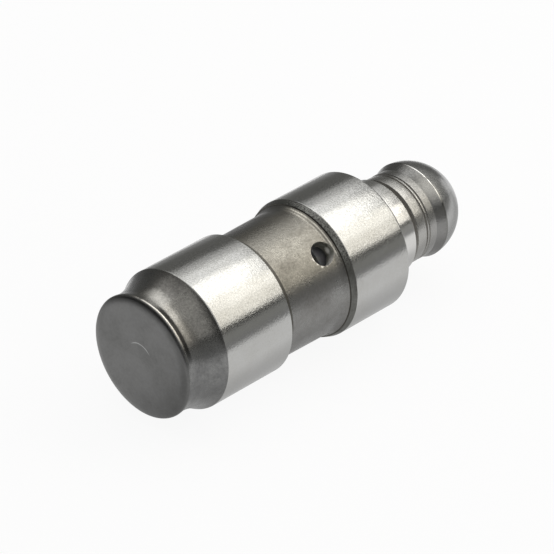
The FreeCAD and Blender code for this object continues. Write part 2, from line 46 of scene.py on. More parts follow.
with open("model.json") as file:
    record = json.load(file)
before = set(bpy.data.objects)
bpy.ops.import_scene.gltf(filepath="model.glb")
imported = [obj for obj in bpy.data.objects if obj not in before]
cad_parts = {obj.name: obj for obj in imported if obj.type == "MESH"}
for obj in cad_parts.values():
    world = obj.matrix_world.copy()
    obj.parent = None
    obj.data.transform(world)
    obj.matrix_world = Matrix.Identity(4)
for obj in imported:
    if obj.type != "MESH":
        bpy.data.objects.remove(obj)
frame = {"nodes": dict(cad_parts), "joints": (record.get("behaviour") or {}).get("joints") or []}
log = logging.getLogger("tappet")

MM = 0.001
UP = Vector((0.0, 0.0, 1.0))
SHARP = math.radians(31)  # an edge that turns more than this stays sharp
ON_AXIS = 1e-6  # the radius in millimetres below which a point lies on the axis
LEVEL = (1.0, 1.0, 0.0)  # the stretch that brings a point down to the level of the foot

Point = tuple[float, float]
Place = tuple[float, float, float]
Colour = tuple[float, float, float]

WHITE = (1.0, 1.0, 1.0, 1.0)
TABLE_WHITE = (0.92, 0.92, 0.92, 1.0)
# the colour of the painted highlights along edges
EDGE_HIGHLIGHT = (0.78, 0.77, 0.74)
# the pale colour of the painted highlights
GLINT_WHITE = (0.8, 0.78, 0.73)
SCRATCH = (0.6, 0.6, 0.6)
# the near-black of the bands of painted shade
SHADE_BLACK = (0.02, 0.02, 0.02)


class Marks(Enum):
    """What the last tool left on a surface."""

    GROUND = "fine rings left by the grinding wheel"
    FORMED = "the sandy skin of cold forming and hardening"
    POLISHED = "a lapped surface with a few fine scratches"
    DRAWN = "streaks along drawn wire or rolled sheet"


@dataclass(frozen=True)
class Noise:
    """A kind of noise."""

    scale: float  # its grains per millimetre
    detail: float = 2.0  # how many finer layers it has
    rough: float = 0.5  # how strong those layers are
    stretch: Place = (1.0, 1.0, 1.0)  # how much closer its grains lie along each axis


@dataclass(frozen=True)
class Side:
    """One side of the part, which fades out round the axis."""

    heading: float  # where the side looks to, in degrees round the axis
    faint: float  # how squarely a point must face that way for the side to start there, up to 1
    full: float  # how squarely it must face that way to lie wholly on the side


def towards(angle: float) -> Vector:
    """The level direction at that angle round the axis, in degrees."""
    turn = math.radians(angle)
    return Vector((math.cos(turn), math.sin(turn), 0.0))


GRINDING_RINGS = Noise(1.0, 3.0, 0.6, (0.05, 0.05, 9.0))
DRAWING_STREAKS = Noise(1.0, stretch=(3.0, 3.0, 12.0))
PATCHES = Noise(0.35, 4.0, 0.6)
BREAKS = Noise(0.9, 3.0, 0.6)
# the grains of the painted sparkle
SPARKLE_DOTS = Noise(8.0, 2.0, 0.8)

# the side that faces the lamps, where sparkle and sheen are painted
LIT_SIDE = Side(-112.0, 0.72, 0.86)
# the lit side, where the edges get a painted highlight
HIGHLIGHT_SIDE = Side(-114.0, 0.8, 0.92)
# the side where the bands of painted shade lie
SHADED_SIDE = Side(-96.0, 0.78, 0.95)
SCRIBED_SIDE = Side(-128.0, 0.6, 0.9)

# How far from its middle a mark starts to fade and is gone, in millimetres.
EDGE_FADE = (0.02, 0.1)
SHADE_BAND_FADE = (0.12, 0.28)
SCRIBE_FADE = (0.02, 0.075)

# Between which values of its noise a mark comes up.
PATCH_RISE = (0.35, 0.75)
SPECK_RISE = (0.3, 0.75)
BREAK_RISE = (0.28, 0.45)


class Wire:
    """A value in a shader that is reckoned with like a number."""

    def __init__(self, bench: "Bench", socket: NodeSocket) -> None:
        """Keeps the socket and the bench whose nodes it belongs to."""
        self.bench = bench
        self.socket = socket

    def reckon(self, operation: str, *values: "Wire | float") -> "Wire":
        """One Math node's result."""
        return self.bench.node("ShaderNodeMath", {"operation": operation}, dict(enumerate(values)))

    def __add__(self, other: "Wire | float") -> "Wire":
        """The sum."""
        return self.reckon("ADD", self, other)

    def __radd__(self, other: float) -> "Wire":
        """The sum, with the number first."""
        return self.reckon("ADD", other, self)

    def __sub__(self, other: "Wire | float") -> "Wire":
        """The difference."""
        return self.reckon("SUBTRACT", self, other)

    def __rsub__(self, other: float) -> "Wire":
        """The difference, with the number first."""
        return self.reckon("SUBTRACT", other, self)

    def __mul__(self, other: "Wire | float") -> "Wire":
        """The product."""
        return self.reckon("MULTIPLY", self, other)

    def __rmul__(self, other: float) -> "Wire":
        """The product, with the number first."""
        return self.reckon("MULTIPLY", other, self)

    def __abs__(self) -> "Wire":
        """The value without its sign."""
        return self.reckon("ABSOLUTE", self)

    def most(self, other: "Wire") -> "Wire":
        """The greater of the two values."""
        return self.reckon("MAXIMUM", self, other)

    def above(self, low: float, high: float) -> "Wire":
        """How far the value has come from low to high, eased at both ends and held from 0 to 1."""
        inputs = {"Value": self, "From Min": low, "From Max": high}
        return self.bench.node("ShaderNodeMapRange", {"interpolation_type": "SMOOTHSTEP"}, inputs)


class Bench:
    """Where the nodes of one material, or of the surround, are put together."""

    def __init__(self, owner: Material | World, output: str) -> None:
        """Starts empty.

        Args:
            owner: the material or world whose nodes these are.
            output: the type of its output node.
        """
        owner.use_nodes = True
        self.owner = owner
        self.tree = owner.node_tree
        self.tree.nodes.clear()
        self.output = self.tree.nodes.new(output)

    @classmethod
    def material(cls, name: str) -> "Bench":
        """A bench for a new material of that name."""
        return cls(bpy.data.materials.new(name), "ShaderNodeOutputMaterial")

    def node(self, kind: str, settings: dict, inputs: dict, out: int | str = 0) -> Wire:
        """Adds one node.

        Args:
            kind: the node's type.
            settings: its properties, set before its inputs.
            inputs: input names or numbers with a number, colour or Wire for each.
            out: the output that is wanted.

        Returns:
            That output.
        """
        node = self.tree.nodes.new(kind)
        for key, setting in settings.items():
            setattr(node, key, setting)
        for key, given in inputs.items():
            if isinstance(given, Wire):
                self.tree.links.new(given.socket, node.inputs[key])
            else:
                node.inputs[key].default_value = given
        return Wire(self, node.outputs[out])

    def vector(self, operation: str, inputs: dict, out: int | str = 0) -> Wire:
        """One Vector Math node's result."""
        return self.node("ShaderNodeVectorMath", {"operation": operation}, inputs, out)

    def mix(self, share: Wire, first: Colour | Wire, second: Colour | Wire) -> Wire:
        """Mixes two colours.

        Args:
            share: how much of the second there is.
            first: the colour at a share of 0.
            second: the colour at a share of 1.

        Returns:
            The mixed colour.
        """
        ends = [c if isinstance(c, Wire) else (*c, 1.0) for c in (first, second)]
        settings = {"data_type": "RGBA", "clamp_factor": True}
        return self.node("ShaderNodeMix", settings, {0: share, 6: ends[0], 7: ends[1]}, 2)

    def place(self, stretch: Place = (1.0, 1.0, 1.0)) -> Wire:
        """The point on the piece in millimetres, with each axis stretched."""
        point = self.node("ShaderNodeTexCoord", {}, {}, "Object")
        return self.vector("MULTIPLY", {0: point, 1: tuple(s / MM for s in stretch)})

    def noise(self, kind: Noise) -> Wire:
        """Adds soft noise.

        Args:
            kind: the kind of noise.

        Returns:
            The noise, from 0 to 1 about one half.
        """
        grains = {"Scale": kind.scale, "Detail": kind.detail, "Roughness": kind.rough}
        return self.node("ShaderNodeTexNoise", {}, {"Vector": self.place(kind.stretch), **grains})

    def on(self, side: Side) -> Wire:
        """Finds one side of the part.

        Args:
            side: the side.

        Returns:
            How far a point lies on it, from 0 to 1.
        """
        outwards = self.vector("NORMALIZE", {0: self.place(LEVEL)})
        squarely = self.vector("DOT_PRODUCT", {0: outwards, 1: towards(side.heading)}, "Value")
        return squarely.above(side.faint, side.full)

    def bump(self, height: Wire, distance: float) -> Wire:
        """The surface's normal with a relief of that depth in millimetres."""
        return self.node("ShaderNodeBump", {}, {"Height": height, "Strength": 1.0, "Distance": distance * MM})

    def finish(self, shader: Wire) -> Material | World:
        """Sends the shader to the output and gives back the material or world."""
        self.tree.links.new(shader.socket, self.output.inputs["Surface"])
        return self.owner


@dataclass(frozen=True)
class Glint:
    """A painted highlight: a place painted pale where light glints."""

    place: Place  # its middle, in millimetres
    reach: float  # how far it spreads, in millimetres
    share: float  # how much of it shows at most


@dataclass(frozen=True)
class Steel:
    """A steel surface: its tones, its sheen, what the last tool left on it, and the light and shade painted
    on it.
    """

    name: str  # the material's name
    marks: Marks  # which tool finished it
    tone: Colour  # its main colour
    stain: Colour  # the colour of its oily or oxidised patches
    stained: float = 0.5  # how much of the stain shows at most
    roughness: float = 0.3  # its middle roughness
    spread: float = 0.1  # how far the roughness varies either way
    relief: float = 0.001  # depth of the tool marks, in millimetres
    grain: float = 6.0  # size of its grain, in grains per millimetre
    metal: float = 1.0  # how metallic it looks; a torn, oily surface scatters more
    # height of each painted highlight along an edge, on the lit side, and its share
    edges: tuple[Point, ...] = ()
    # height of each band of painted shade, near black on one side, and its share
    shade_bands: tuple[Point, ...] = ()
    glints: tuple[Glint, ...] = ()  # places with a painted highlight
    scribed: float = 0.0  # radius of a faint ring scribed about the axis, or 0 where there is none
    sparkle: float = 0.0  # how strongly painted sparkle speckles the side that faces the lamps
    sheen_tint: Colour = (1.0, 1.0, 1.0)  # the tint of the painted sheen on that side

    def relief_map(self, bench: Bench) -> Wire:
        """Lays out the tool marks.

        Args:
            bench: the material's bench.

        Returns:
            Their height, from 0 to 1.
        """
        if self.marks is Marks.GROUND:
            return bench.noise(GRINDING_RINGS) * 0.25 + bench.noise(Noise(self.grain, 3.0, 0.7)) * 0.75
        if self.marks is Marks.DRAWN:
            return bench.noise(DRAWING_STREAKS) * 0.6 + bench.noise(Noise(self.grain)) * 0.4
        if self.marks is Marks.POLISHED:
            return bench.noise(Noise(self.grain * 0.3, stretch=(0.4, 0.4, 6.0)))
        inputs = {"Vector": bench.place(), "Scale": self.grain}
        pits = bench.node("ShaderNodeTexVoronoi", {"feature": "SMOOTH_F1"}, inputs)
        return bench.noise(Noise(self.grain * 1.6, 4.0, 0.65)) * 0.7 + pits * 0.3

    def banded(self, bench: Bench, colour: Wire) -> Wire:
        """Paints highlights along the edges and bands of painted shade.

        Args:
            bench: the material's bench.
            colour: the colour so far.

        Returns:
            The colour with them.
        """
        height = bench.node("ShaderNodeSeparateXYZ", {}, {0: bench.place()}, "Z")
        # painted highlight: a broken bright line along each edge, on the lit side
        for edge, share in self.edges:
            near = 1.0 - abs(height - edge).above(*EDGE_FADE)
            broken = bench.noise(BREAKS).above(*BREAK_RISE) * bench.on(HIGHLIGHT_SIDE)
            colour = bench.mix(near * broken * share, colour, EDGE_HIGHLIGHT)
        # painted shade: a near-black band round each height, on that side, for the dark reflection behind the
        # rim
        for crease, share in self.shade_bands:
            near = 1.0 - abs(height - crease).above(*SHADE_BAND_FADE)
            colour = bench.mix(near * bench.on(SHADED_SIDE) * share, colour, SHADE_BLACK)
        return colour

    def painted_sparkle(self, bench: Bench, colour: Wire) -> Wire:
        """Paints sparkle and a tint of sheen on the side that faces the lamps.

        Args:
            bench: the material's bench.
            colour: the colour so far.

        Returns:
            The colour with the painted sparkle and sheen.
        """
        lit = bench.on(LIT_SIDE)
        tinted = bench.vector("MULTIPLY", {0: colour, 1: self.sheen_tint})
        light = (bench.noise(SPARKLE_DOTS) - 0.5) * lit * self.sparkle + 1.0
        return bench.vector("SCALE", {0: bench.mix(lit, colour, tinted), "Scale": light})

    def scratches_and_glints(self, bench: Bench, colour: Wire, specks: Wire) -> Wire:
        """Scratches part of the scribed ring and paints the highlights.

        Args:
            bench: the material's bench.
            colour: the colour so far.
            specks: fine noise that breaks up the borders of the painted highlights.

        Returns:
            The colour with them.
        """
        if self.scribed:
            radius = bench.vector("LENGTH", {0: bench.place(LEVEL)}, "Value")
            line = 1.0 - abs(radius - self.scribed).above(*SCRIBE_FADE)
            colour = bench.mix(line * bench.on(SCRIBED_SIDE) * 0.4, colour, SCRATCH)
        # painted highlights: pale spots for light that glints off the steel
        for glint in self.glints:
            gap = bench.vector("DISTANCE", {0: bench.place(), 1: glint.place}, "Value")
            near = 1.0 - (gap + (specks - 0.5) * glint.reach * 0.5).above(glint.reach * 0.25, glint.reach)
            colour = bench.mix(near * glint.share, colour, GLINT_WHITE)
        return colour

    @cache
    def make(self) -> Material:
        """Makes the material, once.

        Returns:
            The material.
        """
        bench = Bench.material(self.name)
        patches = bench.noise(PATCHES).above(*PATCH_RISE)
        specks = bench.noise(Noise(self.grain * 0.9, 3.0, 0.7, (1.0, 1.0, 1.3)))
        stained = patches * self.stained * 0.7 + specks.above(*SPECK_RISE) * self.stained * 0.5
        colour = self.banded(bench, bench.mix(stained, self.tone, self.stain))
        if self.sparkle:
            colour = self.painted_sparkle(bench, colour)
        colour = self.scratches_and_glints(bench, colour, specks)
        roughness = self.roughness + (patches - 0.5) * self.spread + (specks - 0.5) * self.spread * 1.5
        inputs = {
            "Base Color": colour,
            "Metallic": self.metal,
            "Roughness": roughness,
            "Normal": bench.bump(self.relief_map(bench), self.relief),
        }
        return bench.finish(bench.node("ShaderNodeBsdfPrincipled", {}, inputs))


LAND = Steel(
    "land_steel", Marks.GROUND, (0.46, 0.46, 0.45), (0.36, 0.35, 0.32), stained=0.35,
    roughness=0.16, spread=0.06, relief=0.012, sparkle=1.1,
)
GROOVE = Steel(
    "groove_steel", Marks.FORMED, (0.245, 0.243, 0.236), (0.165, 0.16, 0.15), stained=0.8,
    roughness=0.32, spread=0.12, relief=0.02, grain=5.0, sparkle=1.3, sheen_tint=(1.15, 1.11, 1.02),
    # painted highlights along the sweep up to the shoulder
    edges=((17.4, 0.3), (17.66, 0.7)),
    # painted glints round the lower edge of the feed hole
    glints=(
        Glint((0.1, -5.43, 15.53), 0.26, 1.0),
        Glint((0.55, -5.43, 15.6), 0.16, 0.7),
        Glint((0.9, -5.38, 15.9), 0.17, 0.9),
        Glint((1.02, -5.38, 16.35), 0.16, 0.6),
    ),
)
FLARE = Steel(
    "flare_steel", Marks.FORMED, (0.24, 0.24, 0.235), (0.12, 0.12, 0.12), stained=0.8,
    roughness=0.28, spread=0.12, relief=0.008, grain=4.0, sparkle=1.2, sheen_tint=(1.03, 1.0, 0.95),
    # a painted highlight where the rim's rounding ends, and a band of painted shade just above it
    edges=((0.42, 0.75),), shade_bands=((0.73, 0.9),),
    # a painted highlight on the flare
    glints=(Glint((-3.0, -4.2, 1.3), 1.3, 0.3), Glint((-3.75, -3.65, 1.5), 1.1, 0.48)),
)
END = Steel(
    "end_steel", Marks.FORMED, (0.165, 0.165, 0.163), (0.125, 0.125, 0.12), stained=0.6,
    roughness=0.4, relief=0.002, grain=4.0, scribed=1.36,
)
SHOULDER = Steel(
    "shoulder_steel", Marks.FORMED, (0.17, 0.17, 0.16), (0.09, 0.09, 0.08), stained=0.8,
    roughness=0.42, spread=0.14, relief=0.02, sparkle=5.0,
)
DRILLED = Steel(
    "drilled_steel", Marks.FORMED, (0.42, 0.42, 0.37), (0.08, 0.08, 0.065), stained=1.1,
    relief=0.03, grain=3.0, metal=0.2,
    # painted light on the lit wall of the feed hole
    glints=(Glint((-0.03, -4.98, 17.5), 0.4, 1.0), Glint((0.95, -5.2, 16.8), 1.1, 1.0)),
)
BORE = Steel(
    "bore_steel", Marks.GROUND, (0.4, 0.4, 0.39), (0.3, 0.29, 0.27), stained=0.4,
    spread=0.08, grain=8.0,
)
SHANK = Steel(
    "shank_steel", Marks.GROUND, (0.64, 0.635, 0.62), (0.5, 0.49, 0.46), stained=0.35,
    roughness=0.18, spread=0.06, relief=0.006, sparkle=0.9,
)
COLLAR = Steel(
    "collar_steel", Marks.GROUND, (0.33, 0.326, 0.316), (0.23, 0.225, 0.21),
    relief=0.014, sparkle=1.6,
)
NECK = Steel(
    "neck_steel", Marks.GROUND, (0.41, 0.405, 0.39), (0.29, 0.28, 0.26),
    roughness=0.28, relief=0.014, sparkle=1.6,
)
# dark steel that paints shade into the groove's foot and under the shoulder's step
CORNER_SHADE = Steel(
    "corner_shade_steel", Marks.FORMED, (0.13, 0.125, 0.11), (0.06, 0.055, 0.05), stained=0.7,
    roughness=0.45,
)
NECK_GROOVE = Steel(
    "neck_groove_steel", Marks.GROUND, (0.42, 0.41, 0.39), (0.3, 0.29, 0.27), stained=0.4,
    roughness=0.5,
)
RIM = Steel(
    "rim_steel", Marks.POLISHED, (0.2, 0.2, 0.19), (0.12, 0.12, 0.11), stained=0.3,
    # a painted highlight round the rim of the head
    roughness=0.2, spread=0.06, relief=0.0004, grain=7.0, edges=((30.95, 1.0),),
)
UNDERSIDE = Steel(
    "underside_steel", Marks.GROUND, (0.24, 0.238, 0.232), (0.13, 0.128, 0.12),
    roughness=0.28, relief=0.016, sparkle=1.6,
    # a painted highlight on the underside of the head
    glints=(Glint((-0.5, -4.0, 30.8), 1.5, 0.39), Glint((-1.1, -3.9, 30.9), 1.6, 0.21)),
)
CROWN = Steel(
    "crown_steel", Marks.POLISHED, (0.4, 0.4, 0.395), (0.3, 0.3, 0.29), stained=0.4,
    roughness=0.27, spread=0.06, relief=0.005, sparkle=1.2,
)
INNER = Steel(
    "inner_steel", Marks.GROUND, (0.66, 0.66, 0.68), (0.5, 0.5, 0.5), stained=0.4,
    roughness=0.35, spread=0.08, metal=0.5,
    # a painted streak of light that falls in through the feed hole
    glints=(Glint((0.04, -3.72, 17.12), 0.34, 1.0), Glint((-0.08, -3.45, 17.08), 0.3, 1.0)),
)
BALL = Steel(
    "ball_steel_lapped", Marks.POLISHED, (0.6, 0.6, 0.61), (0.5, 0.5, 0.5), stained=0.2,
    roughness=0.1, spread=0.04, relief=0.0003, grain=8.0,
)
SHEET = Steel(
    "sheet_steel_pressed", Marks.DRAWN, (0.42, 0.42, 0.41), (0.3, 0.29, 0.26),
    roughness=0.34, relief=0.002, grain=8.0,
)
SPRING = Steel(
    "spring_steel_drawn", Marks.DRAWN, (0.3, 0.3, 0.31), (0.18, 0.18, 0.18),
    roughness=0.34, relief=0.002, grain=10.0,
)


@dataclass(frozen=True)
class Run:
    """One stretch of a turned outline: its points in order, its finish, and how softly it starts."""

    points: tuple[Point, ...]  # radius and height of each point, in millimetres
    finish: Steel  # the finish from its first point to the next run
    soft: float = 0.0  # the rounding of the corner at its first point, in millimetres


def arc(centre: Point, radius: float, start: float, end: float, steps: int) -> tuple[Point, ...]:
    """Points on an arc, between two angles in degrees."""
    turns = [math.radians(start + (end - start) * i / steps) for i in range(steps + 1)]
    return tuple((centre[0] + radius * math.cos(a), centre[1] + radius * math.sin(a)) for a in turns)


def sweep(start: Point, end: Point, steps: int) -> tuple[Point, ...]:
    """Draws an arc that leaves start straight up the axis and curves outwards.

    Args:
        start: where it starts.
        end: where it ends.
        steps: how many straight pieces stand for it.

    Returns:
        Its points.
    """
    out, up = end[0] - start[0], end[1] - start[1]
    radius = (out * out + up * up) / (2 * out)
    angle = math.degrees(math.asin(up / radius))
    return arc((start[0] + radius, start[1]), radius, 180.0, 180.0 - angle, steps)


def rounded(corner: Point, before: Point, after: Point, size: float, steps: int = 4) -> list[Point]:
    """Rounds a corner off.

    Args:
        corner: the corner.
        before: the point before it.
        after: the point after it.
        size: how far from the corner the rounding starts, if its sides leave room.
        steps: how many straight pieces stand for it.

    Returns:
        The points that replace the corner.
    """
    most = 0.45
    here, back, ahead = Vector(corner), Vector(before) - Vector(corner), Vector(after) - Vector(corner)
    start = here + back.normalized() * min(size, back.length * most)
    end = here + ahead.normalized() * min(size, ahead.length * most)
    shares = [i / steps for i in range(steps + 1)]
    curve = [start * (1 - t) ** 2 + here * 2 * t * (1 - t) + end * t * t for t in shares]
    return [(p.x, p.y) for p in curve]


def put_in_scene(name: str, mesh: Mesh) -> Object:
    """Puts a mesh in the scene, shaded smooth but for its sharp edges.

    Args:
        name: the new object's name.
        mesh: its mesh.

    Returns:
        The object.
    """
    mesh.validate()
    mesh.update()
    mesh.polygons.foreach_set("use_smooth", [True] * len(mesh.polygons))
    mesh.set_sharp_from_angle(angle=SHARP)
    thing = bpy.data.objects.new(name, mesh)
    bpy.context.scene.collection.objects.link(thing)
    return thing


def cut(thing: Object, tool: Object) -> None:
    """Cuts the tool's shape out of the thing, keeps the tool's finish on the cut and clears the tool away.

    Args:
        thing: what is cut.
        tool: what cuts it.
    """
    modifier = thing.modifiers.new("cut", "BOOLEAN")
    modifier.object = tool
    modifier.operation = "DIFFERENCE"
    modifier.solver = "EXACT"
    modifier.material_mode = "TRANSFER"
    bpy.context.view_layer.update()
    mesh = bpy.data.meshes.new_from_object(thing.evaluated_get(bpy.context.evaluated_depsgraph_get()))
    thing.modifiers.clear()
    old = thing.data
    thing.data = mesh
    mesh.set_sharp_from_angle(angle=SHARP)
    bpy.data.meshes.remove(old)
    mesh_of_tool = tool.data
    bpy.data.objects.remove(tool)
    bpy.data.meshes.remove(mesh_of_tool)


class Lathe:
    """Turns outlines into meshes."""

    def __init__(self, segments: int) -> None:
        """Sets how many flats go round."""
        self.segments = segments

    def outline(self, runs: list[Run]) -> list[tuple[float, float, int]]:
        """Joins the runs into one closed outline.

        Args:
            runs: the runs in order.

        Returns:
            The points, each with the number of the run that it belongs to.
        """
        corners = []
        for i, run in enumerate(runs):
            corners += [(p, i, run.soft if j == 0 else 0.0) for j, p in enumerate(run.points)]
        points = []
        for k, (corner, run, soft) in enumerate(corners):
            if soft <= 0:
                points.append((*corner, run))
                continue
            curve = rounded(corner, corners[k - 1][0], corners[(k + 1) % len(corners)][0], soft)
            points += [(*p, run) for p in curve]
        return points

    def turn(self, name: str, runs: list[Run]) -> Object:
        """Turns a closed outline about the axis.

        Args:
            name: the new object's name.
            runs: the outline, anticlockwise as seen with the radius to the right and the height up.

        Returns:
            The object, with a material slot for each finish.
        """
        points = self.outline(runs)
        finishes = list(dict.fromkeys(run.finish for run in runs))
        verts: list[Place] = []
        rings: list[list[int]] = []
        for r, z, _ in points:
            if r < ON_AXIS:
                rings.append([len(verts)] * self.segments)
                verts.append((0.0, 0.0, z * MM))
                continue
            rings.append(list(range(len(verts), len(verts) + self.segments)))
            for s in range(self.segments):
                a = 2 * math.pi * (s + 0.5) / self.segments
                verts.append((r * MM * math.cos(a), r * MM * math.sin(a), z * MM))
        faces, slots = [], []
        for k, (_, _, run) in enumerate(points):
            here, there = rings[k], rings[(k + 1) % len(rings)]
            for s in range(self.segments):
                t = (s + 1) % self.segments
                face = list(dict.fromkeys((here[s], here[t], there[t], there[s])))
                if len(face) > 2:
                    faces.append(face)
                    slots.append(finishes.index(runs[run].finish))
        mesh = bpy.data.meshes.new(name)
        mesh.from_pydata(verts, [], faces)
        for finish in finishes:
            mesh.materials.append(finish.make())
        mesh.polygons.foreach_set("material_index", slots)
        return put_in_scene(name, mesh)


@dataclass
class Body:
    """The ground body: closed flared end, two lands, the oil groove between them and the bore."""

    land: float = 6.0  # radius of both lands
    length: float = 24.6  # from the closed end to the mouth
    face_rings: tuple[float, float] = (1.5, 3.6)  # radii that divide the end face, to keep its shading flat
    rim: float = 5.26  # radius of the rim
    rounding: float = 0.35  # rounding of its edge
    crown: float = 1.6  # radius of the soft crown inside that edge
    crown_turn: float = 24.0  # how far the crown turns, in degrees
    rim_turn: float = -20.0  # where on the rounding the flare's finish starts, in degrees
    waist: tuple[Point, Point, Point] = ((5.25, 0.56), (5.2, 0.9), (5.18, 1.15))  # the way in from the rim
    flare_end: float = 3.86  # height where the flare meets the lower land
    land_ring: float = 7.4  # height of a ring that divides that land
    groove_low: float = 10.9  # height where the oil groove starts
    groove_radius: float = 5.43  # radius of its floor there
    groove_bevel: float = 0.25  # bevel at the foot of its wall
    groove_shade: float = 0.68  # how far up the floor the painted shade in that corner reaches
    floor_end: Point = (5.5, 17.15)  # where the floor starts to sweep out
    shoulder: Point = (5.7, 17.8)  # where that sweep ends
    shoulder_line: tuple[Point, Point] = ((5.7, 17.78), (5.71, 17.83))  # the line of painted shade under the step
    shoulder_step: Point = (5.81, 17.85)  # the outer corner of the step
    upper_land: float = 18.4  # height where the upper land starts
    upper_land_ring: float = 21.4  # height of a ring that divides it
    mouth_bevel: float = 0.25  # bevels inside and outside the mouth
    bore: float = 4.52  # radius of the bore
    bore_step: float = 7.17  # height of the step at its foot, just clear of the pressed plunger
    # radius, foot and top of the retaining ring's groove
    ring_groove: tuple[float, float, float] = (4.82, 22.17, 22.83)
    pocket: float = 3.7  # radius of the spring's pocket
    floor: float = 3.6  # height of its floor
    floor_bevel: float = 0.5  # bevel round that floor
    hole_height: float = 16.5  # height of the feed hole
    hole_radius: float = 1.0  # its radius
    hole_foot: float = 3.9  # how far from the axis the drill starts
    # its rolled edge, each point out from its radius and up from the groove's floor
    hole_edge: tuple[Point, Point, Point] = ((0.0, -0.14), (0.05, 0.05), (0.2, 0.6))

    def closed_end(self) -> list[Run]:
        """Draws the end face, the rim, the waist and the flare.

        Returns:
            The runs from the axis out to the lower land.
        """
        turn = math.radians(self.crown_turn)
        face = self.rim - self.rounding - (self.crown - self.rounding) * math.sin(turn)
        edge = (self.rim - self.rounding, self.crown - (self.crown - self.rounding) * math.cos(turn))
        return [
            Run(((0.0, 0.0), *((r, 0.0) for r in self.face_rings)), END),
            Run(arc((face, self.crown), self.crown, -90, self.crown_turn - 90, 8)[:-1], END),
            Run(arc(edge, self.rounding, self.crown_turn - 90, self.rim_turn, 8)[:-1], END),
            Run(arc(edge, self.rounding, self.rim_turn, 0, 3), FLARE),
            Run(self.waist[:-1], FLARE),
            Run(sweep(self.waist[-1], (self.land, self.flare_end), 20)[:-1], FLARE),
        ]

    def outside(self) -> list[Run]:
        """Draws both lands and the oil groove between them.

        Returns:
            The runs from the lower land up to the mouth.
        """
        floor, low, bevel = self.groove_radius, self.groove_low, self.groove_bevel
        return [
            Run(((self.land, self.flare_end), (self.land, self.land_ring)), LAND, 0.05),
            Run(((self.land, low),), GROOVE, 0.03),
            Run(((floor + bevel, low),), GROOVE, 0.05),
            # painted shade in the foot of the groove
            Run(((floor, low + bevel),), CORNER_SHADE, 0.1),
            Run(((floor, low + self.groove_shade),), GROOVE),
            Run(sweep(self.floor_end, self.shoulder, 8)[:-1], GROOVE),
            Run(self.shoulder_line, CORNER_SHADE),
            Run((self.shoulder_step,), SHOULDER, 0.02),
            Run(((self.land, self.upper_land), (self.land, self.upper_land_ring)), LAND, 0.05),
            Run(((self.land, self.length - self.mouth_bevel),), LAND, 0.06),
        ]

    def inside(self) -> list[Run]:
        """Draws the mouth, the bore with the ring's groove, and the spring's pocket.

        Returns:
            The runs from the mouth down to the axis.
        """
        bevel, step, foot = self.mouth_bevel, self.bore_step, self.floor
        wide, low, high = self.ring_groove
        return [
            Run(((self.land - bevel, self.length),), BORE, 0.05),
            Run(((self.bore + bevel, self.length),), BORE, 0.05),
            Run(((self.bore, self.length - bevel),), BORE, 0.05),
            Run(((self.bore, high), (wide, high), (wide, low), (self.bore, low)), BORE),
            Run(((self.bore, step), (self.pocket, step), (self.pocket, foot + self.floor_bevel)), BORE),
            Run(((self.pocket - self.floor_bevel, foot), (0.0, foot)), BORE),
        ]

    def feed_drill(self) -> Object:
        """Makes the tool for the feed hole: a straight drill that leaves a slightly rolled edge.

        Returns:
            The drill, in place.
        """
        edge = [(self.hole_radius + out, self.groove_radius + up) for out, up in self.hole_edge]
        foot = ((0.0, self.hole_foot), (self.hole_radius, self.hole_foot))
        drill = Lathe(72).turn("feed_drill", [Run((*foot, *edge, (0.0, edge[-1][1])), DRILLED)])
        lift = Matrix.Translation(UP * self.hole_height * MM)
        drill.data.transform(lift @ Matrix.Rotation(math.radians(90), 4, "X"))
        return drill

    def build(self) -> Object:
        """Makes the body in place of its plain solid.

        Returns:
            The body.
        """
        shell = Lathe(192).turn("body_shell", self.closed_end() + self.outside() + self.inside())
        cut(shell, self.feed_drill())
        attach(shell, "body")
        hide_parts("housing")
        return shell


